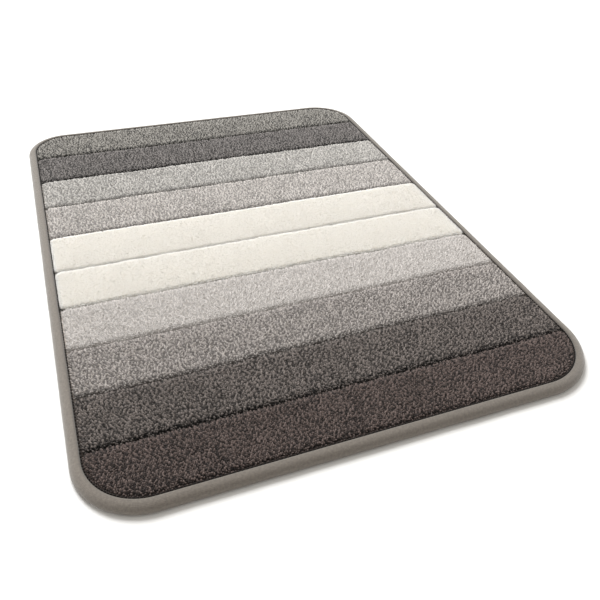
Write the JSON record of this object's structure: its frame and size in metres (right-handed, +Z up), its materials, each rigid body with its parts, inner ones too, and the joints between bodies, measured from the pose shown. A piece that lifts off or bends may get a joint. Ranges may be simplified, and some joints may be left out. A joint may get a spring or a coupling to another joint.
{
  "type": "bath mat",
  "caption": "Rectangular padded bath mat with rounded corners: plush face in coloured cross bands parted by stitched grooves, foam core, anti-slip base and bound edge.",
  "frame": {"origin": "centre of the mat's rectangle, on the floor it lies on", "axes": "+Z up out of the plush face, +X along the bands across the mat's short side, +Y along its long side towards the mid-grey end band (plush_band_01)"},
  "size_m": [0.5, 0.67, 0.0126],
  "materials": {
    "plush_01": "short looped microfibre plush",
    "plush_02": "short looped microfibre plush",
    "plush_03": "short looped microfibre plush",
    "plush_04": "short looped microfibre plush",
    "plush_05": "short looped microfibre plush",
    "plush_06": "short looped microfibre plush",
    "plush_07": "short looped microfibre plush",
    "plush_08": "short looped microfibre plush",
    "plush_09": "short looped microfibre plush",
    "plush_10": "short looped microfibre plush",
    "binding": "smooth matte knitted tape",
    "foam": "soft open-cell foam",
    "backing": "woven cloth with rubbery grip dots",
    "thread": "polyester sewing thread"
  },
  "bodies": {
    "root": {"plush_band_01": "plush_01", "plush_band_02": "plush_02", "plush_band_03": "plush_03", "plush_band_04": "plush_04", "plush_band_05": "plush_05", "plush_band_06": "plush_06", "plush_band_07": "plush_07", "plush_band_08": "plush_08", "plush_band_09": "plush_09", "plush_band_10": "plush_10", "edge_binding": "binding", "foam_core": "foam", "anti_slip_backing": "backing", "binding_seam_top": "thread", "binding_seam_under": "thread", "groove_thread_top_01": "thread", "groove_thread_top_02": "thread", "groove_thread_top_03": "thread", "groove_thread_top_04": "thread", "groove_thread_top_05": "thread", "groove_thread_top_06": "thread", "groove_thread_top_07": "thread", "groove_thread_top_08": "thread", "groove_thread_top_09": "thread", "groove_thread_under_01": "thread", "groove_thread_under_02": "thread", "groove_thread_under_03": "thread", "groove_thread_under_04": "thread", "groove_thread_under_05": "thread", "groove_thread_under_06": "thread", "groove_thread_under_07": "thread", "groove_thread_under_08": "thread", "groove_thread_under_09": "thread"}
  },
  "joints": []
}
